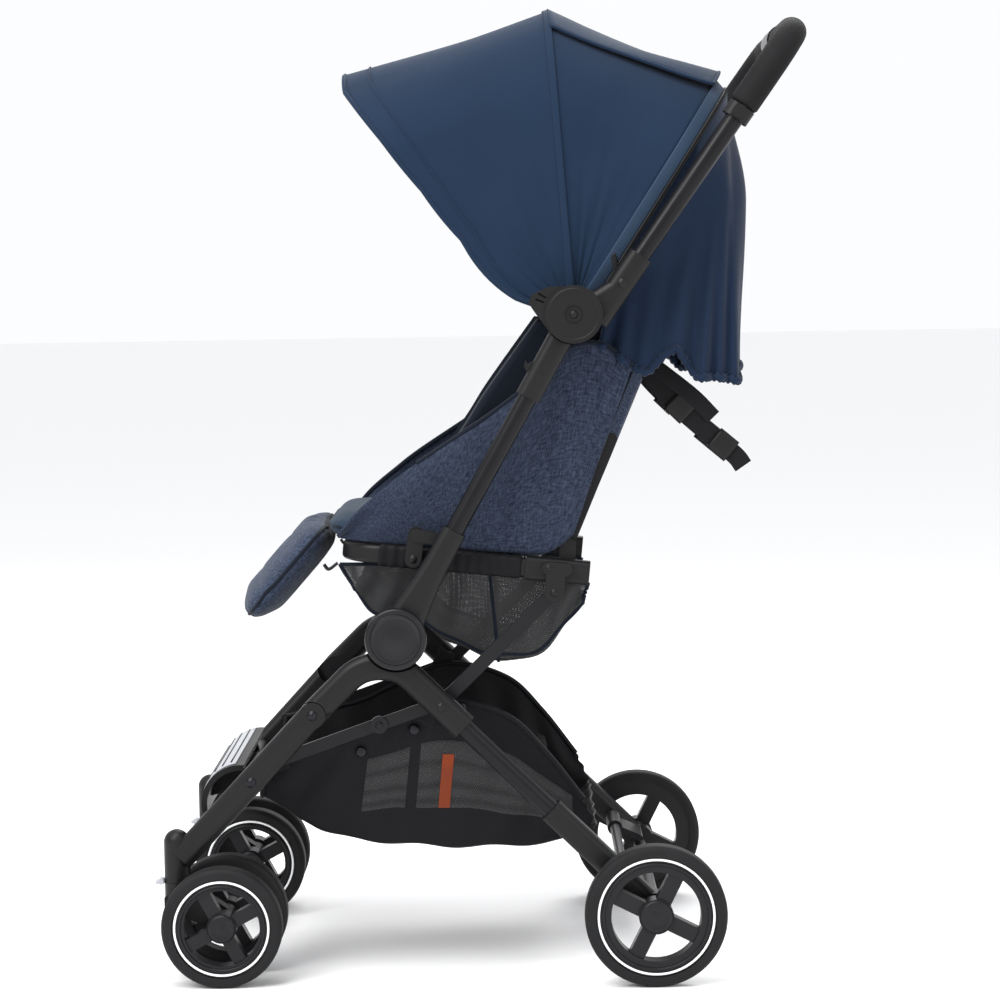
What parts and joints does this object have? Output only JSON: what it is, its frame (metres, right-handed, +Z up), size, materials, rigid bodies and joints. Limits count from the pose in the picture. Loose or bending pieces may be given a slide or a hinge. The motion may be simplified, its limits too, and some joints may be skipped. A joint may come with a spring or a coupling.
{
  "type": "compact folding baby stroller",
  "caption": "Compact folding stroller: hooded padded seat, U-shaped push handle, double swivel casters in front, single rear wheels, mesh basket.",
  "frame": {"origin": "middle of the box in plan, on the floor the wheels stand on", "axes": "+Z up; the stroller faces -Y; +X is the child's left-hand side"},
  "size_m": [0.5, 0.6927, 1.0036],
  "materials": {
    "black_plastic": "moulded, fine satin grain",
    "black_paint": "glossy powder coat",
    "cap_plastic": "glossy black",
    "silver_plastic": "silver-grey moulded",
    "buckle_button_plastic": "grey moulded",
    "wheel_plastic": "moulded spoked wheel",
    "tyre": "solid foam tyre",
    "dark_steel": "black painted steel",
    "rivet_steel": "rivet heads, blackened rim",
    "grip_foam": "closed-cell foam",
    "canopy_fabric": "navy woven polyester",
    "curtain_fabric": "thin navy woven polyester",
    "seat_fabric": "blue melange weave",
    "melange_fabric": "blue melange weave, quilted top",
    "webbing": "black webbing",
    "basket_mesh": "dark fabric with open mesh",
    "under_mesh": "dark open mesh"
  },
  "bodies": {
    "chassis": {"hub_arches": "black_plastic", "rear_leg_tubes": "black_paint", "rear_feet": "black_plastic", "rear_axle": "dark_steel", "hub_caps": "cap_plastic", "hub_cross_tube": "black_paint", "basket": "basket_mesh"},
    "brake": {"brake_pedal": "dark_steel"},
    "rear_wheel_left": {"rear_wheel_left": "wheel_plastic", "rear_tyre_left": "tyre"},
    "rear_wheel_right": {"rear_wheel_right": "wheel_plastic", "rear_tyre_right": "tyre"},
    "front_legs": {"front_leg_left": "black_plastic", "front_leg_right": "black_plastic", "front_cross_bar": "dark_steel", "step_plate": "black_plastic", "front_leg_pins": "rivet_steel"},
    "main_frame": {"hub_sleeve_left": "black_plastic", "hub_sleeve_right": "black_plastic", "main_tubes": "black_paint", "hinge_sleeves": "black_plastic"},
    "handle": {"upper_sleeves": "black_plastic", "handle_tube": "black_paint", "handle_brackets": "black_plastic", "foam_grip": "grip_foam", "latch_housing": "cap_plastic"},
    "fold_button": {"fold_button": "silver_plastic"},
    "canopy": {"canopy_mounts": "black_plastic", "canopy_rear_panel": "canopy_fabric", "back_curtain": "curtain_fabric"},
    "canopy_middle": {"canopy_mid_bow": "black_plastic", "canopy_front_panel": "canopy_fabric"},
    "canopy_front": {"canopy_front_bow": "black_plastic"},
    "seat": {"seat_rail": "black_plastic", "rail_brackets": "black_plastic", "seat_cushion": "seat_fabric", "harness_buckle": "cap_plastic", "seat_wings": "seat_fabric", "mesh_bag": "under_mesh"},
    "buckle_button": {"buckle_button": "buckle_button_plastic"},
    "leg_rest": {"leg_rest": "melange_fabric"},
    "back_yoke": {"back_hinge_rod": "dark_steel"},
    "seat_back": {"backrest": "seat_fabric", "harness_straps": "webbing", "recline_straps": "webbing"},
    "struts": {"seat_struts": "dark_steel"},
    "brace_rear": {"brace_links_rear": "dark_steel"},
    "brace_front": {"brace_links_front": "dark_steel"},
    "caster_left": {"caster_fork_left": "black_plastic"},
    "swivel_lock_left": {"swivel_lock_left": "silver_plastic"},
    "front_wheel_left_outer": {"front_wheel_left_outer": "wheel_plastic", "front_tyre_left_outer": "tyre"},
    "front_wheel_left_inner": {"front_wheel_left_inner": "wheel_plastic", "front_tyre_left_inner": "tyre"},
    "caster_right": {"caster_fork_right": "black_plastic"},
    "swivel_lock_right": {"swivel_lock_right": "silver_plastic"},
    "front_wheel_right_outer": {"front_wheel_right_outer": "wheel_plastic", "front_tyre_right_outer": "tyre"},
    "front_wheel_right_inner": {"front_wheel_right_inner": "wheel_plastic", "front_tyre_right_inner": "tyre"}
  },
  "joints": [
    {"name": "frame_fold", "type": "hinge", "parent": "chassis", "child": "main_frame", "pos_m": [0, -0.08923, 0.3581], "axis": [-1, 0, 0], "range_deg": [0, 84], "deforming": ["basket"]},
    {"name": "handle_fold", "type": "hinge", "parent": "main_frame", "child": "handle", "pos_m": [0, 0.09778, 0.68729], "axis": [1, 0, 0], "range_deg": [0, 165]},
    {"name": "canopy_carry", "type": "hinge", "parent": "main_frame", "child": "canopy", "pos_m": [0, 0.09778, 0.68729], "axis": [1, 0, 0], "range_deg": [0, 66], "deforming": ["back_curtain"]},
    {"name": "canopy_close", "type": "hinge", "parent": "canopy", "child": "canopy_middle", "pos_m": [0, 0.09778, 0.68729], "axis": [1, 0, 0], "range_deg": [-37, 0], "deforming": ["canopy_rear_panel"]},
    {"name": "canopy_front_close", "type": "hinge", "parent": "canopy_middle", "child": "canopy_front", "pos_m": [0, 0.09778, 0.68729], "axis": [1, 0, 0], "range_deg": [-28, 0], "deforming": ["canopy_front_panel"]},
    {"name": "rail_fold", "type": "hinge", "parent": "main_frame", "child": "seat", "pos_m": [0, -0.07095, 0.437], "axis": [1, 0, 0], "range_deg": [0, 65.18], "deforming": ["seat_wings", "mesh_bag"]},
    {"name": "strut_fold", "type": "hinge", "parent": "chassis", "child": "struts", "pos_m": [0, -0.04392, 0.28605], "axis": [-1, 0, 0], "range_deg": [0, 49.98]},
    {"name": "back_yoke_fold", "type": "hinge", "parent": "seat", "child": "back_yoke", "pos_m": [0, 0.08947, 0.446], "axis": [-1, 0, 0], "range_deg": [0, 62]},
    {"name": "recline", "type": "hinge", "parent": "back_yoke", "child": "seat_back", "pos_m": [0, 0.08947, 0.446], "axis": [1, 0, 0], "range_deg": [-33, 0], "deforming": ["recline_straps"]},
    {"name": "leg_rest_lift", "type": "hinge", "parent": "seat", "child": "leg_rest", "pos_m": [0, -0.17453, 0.473], "axis": [1, 0, 0], "range_deg": [-45, 0]},
    {"name": "front_leg_fold", "type": "hinge", "parent": "chassis", "child": "front_legs", "pos_m": [0, -0.17673, 0.2795], "axis": [1, 0, 0], "range_deg": [0, 72]},
    {"name": "brace_rear_fold", "type": "hinge", "parent": "chassis", "child": "brace_rear", "pos_m": [0, -0.04392, 0.28605], "axis": [1, 0, 0], "range_deg": [0, 99.8]},
    {"name": "brace_front_fold", "type": "hinge", "parent": "front_legs", "child": "brace_front", "pos_m": [0, -0.23138, 0.22108], "axis": [-1, 0, 0], "range_deg": [0, 84.2]},
    {"name": "brake_press", "type": "hinge", "parent": "chassis", "child": "brake", "pos_m": [0, 0.14301, 0.10243], "axis": [-1, 0, 0], "range_deg": [0, 9]},
    {"name": "rear_wheel_spin_left", "type": "hinge", "parent": "chassis", "child": "rear_wheel_left", "pos_m": [0.237, 0.17297, 0.073], "axis": [1, 0, 0], "continuous": true},
    {"name": "caster_swivel_left", "type": "hinge", "parent": "front_legs", "child": "caster_left", "pos_m": [0.177, -0.32253, 0.12], "axis": [0, 0, 1], "continuous": true},
    {"name": "swivel_lock_left", "type": "hinge", "parent": "front_legs", "child": "swivel_lock_left", "pos_m": [0.177, -0.33973, 0.1045], "axis": [1, 0, 0], "range_deg": [0, 6]},
    {"name": "front_wheel_spin_left_outer", "type": "hinge", "parent": "caster_left", "child": "front_wheel_left_outer", "pos_m": [0.214, -0.27353, 0.0625], "axis": [1, 0, 0], "continuous": true},
    {"name": "front_wheel_spin_left_inner", "type": "hinge", "parent": "caster_left", "child": "front_wheel_left_inner", "pos_m": [0.14, -0.27353, 0.0625], "axis": [1, 0, 0], "continuous": true},
    {"name": "rear_wheel_spin_right", "type": "hinge", "parent": "chassis", "child": "rear_wheel_right", "pos_m": [-0.237, 0.17297, 0.073], "axis": [1, 0, 0], "continuous": true},
    {"name": "caster_swivel_right", "type": "hinge", "parent": "front_legs", "child": "caster_right", "pos_m": [-0.177, -0.32253, 0.12], "axis": [0, 0, 1], "continuous": true},
    {"name": "swivel_lock_right", "type": "hinge", "parent": "front_legs", "child": "swivel_lock_right", "pos_m": [-0.177, -0.33973, 0.1045], "axis": [1, 0, 0], "range_deg": [0, 6]},
    {"name": "front_wheel_spin_right_outer", "type": "hinge", "parent": "caster_right", "child": "front_wheel_right_outer", "pos_m": [-0.214, -0.27353, 0.0625], "axis": [1, 0, 0], "continuous": true},
    {"name": "front_wheel_spin_right_inner", "type": "hinge", "parent": "caster_right", "child": "front_wheel_right_inner", "pos_m": [-0.14, -0.27353, 0.0625], "axis": [1, 0, 0], "continuous": true},
    {"name": "fold_button_press", "type": "slide", "parent": "handle", "child": "fold_button", "axis": [0, -0.8171, 0.5764], "range_m": [0, 0.0025], "stiffness_N_per_m": 300},
    {"name": "buckle_button_press", "type": "slide", "parent": "seat", "child": "buckle_button", "axis": [0, -0.1053, -0.9944], "range_m": [0, 0.0025], "stiffness_N_per_m": 300}
  ],
  "couplings": [
    {"joint": "handle_fold", "follows": "frame_fold", "ratio": 1.9643},
    {"joint": "canopy_carry", "follows": "frame_fold", "ratio": 0.78571},
    {"joint": "rail_fold", "follows": "frame_fold", "ratio": 0.7759},
    {"joint": "strut_fold", "follows": "frame_fold", "ratio": 0.595},
    {"joint": "back_yoke_fold", "follows": "frame_fold", "ratio": 0.73809},
    {"joint": "front_leg_fold", "follows": "frame_fold", "ratio": 0.85714},
    {"joint": "brace_rear_fold", "follows": "frame_fold", "ratio": 1.1881},
    {"joint": "brace_front_fold", "follows": "frame_fold", "ratio": 1.0024},
    {"joint": "canopy_front_close", "follows": "canopy_close", "ratio": 0.75676}
  ]
}
